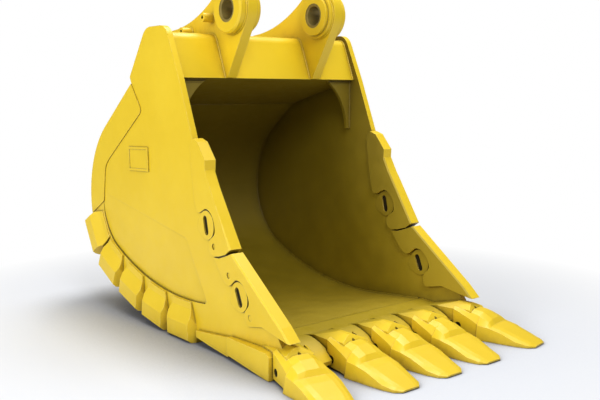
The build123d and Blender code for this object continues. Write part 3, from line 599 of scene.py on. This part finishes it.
for name in sorted(nodes):
    if name.startswith("adapter"):
        seams = seam_paths(name, crest + lip_normal * 2 * SKIN, lip_normal, round_leg)
        bead("weld_" + name, seams, CAST_BEAD, CAST_SHADED_AT_REAR)
    if name.startswith("heel_shroud"):
        seams = []
        for sign in SIDES.values():
            seams += seam_paths(name, (sign * outside, 0, 0), ACROSS, shroud_top)
        bead("weld_" + name, seams, SMALL_BEAD)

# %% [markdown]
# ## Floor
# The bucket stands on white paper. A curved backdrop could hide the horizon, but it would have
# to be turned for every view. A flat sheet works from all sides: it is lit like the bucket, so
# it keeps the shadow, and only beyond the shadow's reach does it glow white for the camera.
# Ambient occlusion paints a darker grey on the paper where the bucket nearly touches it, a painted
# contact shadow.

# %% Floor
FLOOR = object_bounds()[0][2]
FLOOR_HALF = 60
PAPER = "#dcdfe6"
PAPER_SHADE = "#6c6e76"
SHADE_REACH = 0.6
GLOW_FROM = 1.5  # metres from the middle of the floor
GLOW_TO = 2.9
shape = bmesh.new()
bmesh.ops.create_grid(shape, x_segments=1, y_segments=1, size=FLOOR_HALF)
bmesh.ops.translate(shape, verts=shape.verts, vec=(0, 0, FLOOR))
sheet = bpy.data.meshes.new("floor")
shape.to_mesh(sheet)
shape.free()
floor = bpy.data.objects.new("floor", sheet)
bpy.context.scene.collection.objects.link(floor)

# Matt paper without gloss, with a faint grain
paper = Shader("backdrop_paper")
# Painted contact shadow: the paper's grey deepens by ambient occlusion near the bucket
contact = paper.add("ShaderNodeAmbientOcclusion", {"samples": 8}, Distance=SHADE_REACH)
shade = paper.band(contact.outputs["AO"], 1.0, 0.3)
tone = paper.mix(shade, linear(PAPER), linear(PAPER_SHADE))
paper.finish(tone, 0.9, height=paper.noise(8), height_mm=0.05)
paper.surface.inputs["Specular IOR Level"].default_value = 0.0
flat = paper.add("ShaderNodeVectorMath", {"operation": "MULTIPLY"})
paper.feed(flat.inputs[0], paper.place)
paper.feed(flat.inputs[1], (1, 1, 0))
away = paper.add("ShaderNodeVectorMath", {"operation": "LENGTH"}, Vector=flat.outputs[0])
glow = paper.band(away.outputs["Value"], GLOW_FROM, GLOW_TO)
seen = paper.add("ShaderNodeLightPath").outputs["Is Camera Ray"]
white = paper.add("ShaderNodeEmission", Color=(1, 1, 1, 1), Strength=1.0)
blend = paper.add("ShaderNodeMixShader")
paper.feed(blend.inputs[0], paper.maths("MULTIPLY", glow, seen))
paper.feed(blend.inputs[1], paper.surface.outputs[0])
paper.feed(blend.inputs[2], white.outputs[0])
paper.feed(paper.tree.nodes["Material Output"].inputs["Surface"], blend.outputs[0])
sheet.materials.append(paper.material)
print("Floor height:", FLOOR)

# %% [markdown]
# ## World
# A studio's white walls give a soft fill from all sides. One strength can't serve both the
# white background and the fill, so the world is white for the camera and dim for the rest.

# %% World
FILL = 0.22
world = bpy.data.worlds.new("studio")
world.use_nodes = True
bpy.context.scene.world = world
tree = world.node_tree
backdrop = tree.nodes["Background"]
backdrop.inputs["Color"].default_value = (1, 1, 1, 1)
backdrop.inputs["Strength"].default_value = 1.0
fill = tree.nodes.new("ShaderNodeBackground")
fill.inputs["Color"].default_value = linear("#fbfaf6")
fill.inputs["Strength"].default_value = FILL
path = tree.nodes.new("ShaderNodeLightPath")
blend = tree.nodes.new("ShaderNodeMixShader")
tree.links.new(path.outputs["Is Camera Ray"], blend.inputs[0])
tree.links.new(fill.outputs[0], blend.inputs[1])
tree.links.new(backdrop.outputs[0], blend.inputs[2])
tree.links.new(blend.outputs[0], tree.nodes["World Output"].inputs["Surface"])


# %% [markdown]
# ## Softboxes
# An overhead softbox makes the bright upper facets and the shadow below. A second one stands
# high on the left. It lights the side plate but leaves the inside in shade, and a third one
# lifts the front. A lamp's power says little by itself, so each gets a level: the brightness
# that it gives a white surface facing it.

# %% Lights
def softbox(name, place, target, size, level):
    """A square softbox that gives a white surface facing it the brightness level."""
    reach = Vector(target) - Vector(place)
    data = bpy.data.lights.new(name, "AREA")
    data.size = size
    data.energy = level * math.pi**2 * reach.length_squared
    lamp = bpy.data.objects.new(name, data)
    lamp.location = place
    lamp.rotation_euler = reach.to_track_quat("-Z", "Y").to_euler()
    bpy.context.scene.collection.objects.link(lamp)
    print(name, "power in watts:", round(data.energy))


softbox("left_box", (-7.0, 0.1, 1.6), (0, -0.1, -1.1), 3.2, 0.5)
softbox("top_box", (1.2, 0.4, 5.0), (0, -0.2, -1.0), 3.6, 0.88)
softbox("front_box", (-2.4, -6.2, 4.0), (0, -0.2, -1.0), 3.0, 0.42)

# %% [markdown]
# ## Camera
# The camera stands on the left in front of the bucket, a little over its middle, and looks
# slightly down. Its place, its turn and its focal length were worked out from straight edges
# and round bores, so it is written as two directions and a place, not as three angles.

# %% Camera
STANDPOINT = (-3.148, -4.001, -0.494)
FOCAL_PX = 803.35
WIDTH_PX = 600
SENSOR_MM = 36
RIGHT = Vector((0.7719, -0.6357, 0.0)).normalized()
AHEAD = Vector((0.6302, 0.7653, -0.1312)).normalized()
UP = RIGHT.cross(AHEAD)
camera_data = bpy.data.cameras.new("camera")
camera_data.sensor_width = SENSOR_MM
camera_data.lens = FOCAL_PX / WIDTH_PX * SENSOR_MM
camera = bpy.data.objects.new("camera", camera_data)
turn = Matrix((RIGHT, UP, -AHEAD)).transposed().to_4x4()
camera.matrix_world = Matrix.Translation(STANDPOINT) @ turn
bpy.context.scene.collection.objects.link(camera)
bpy.context.scene.camera = camera
bpy.context.scene.view_settings.view_transform = "Standard"
print("Lens in mm:", round(camera_data.lens, 2))
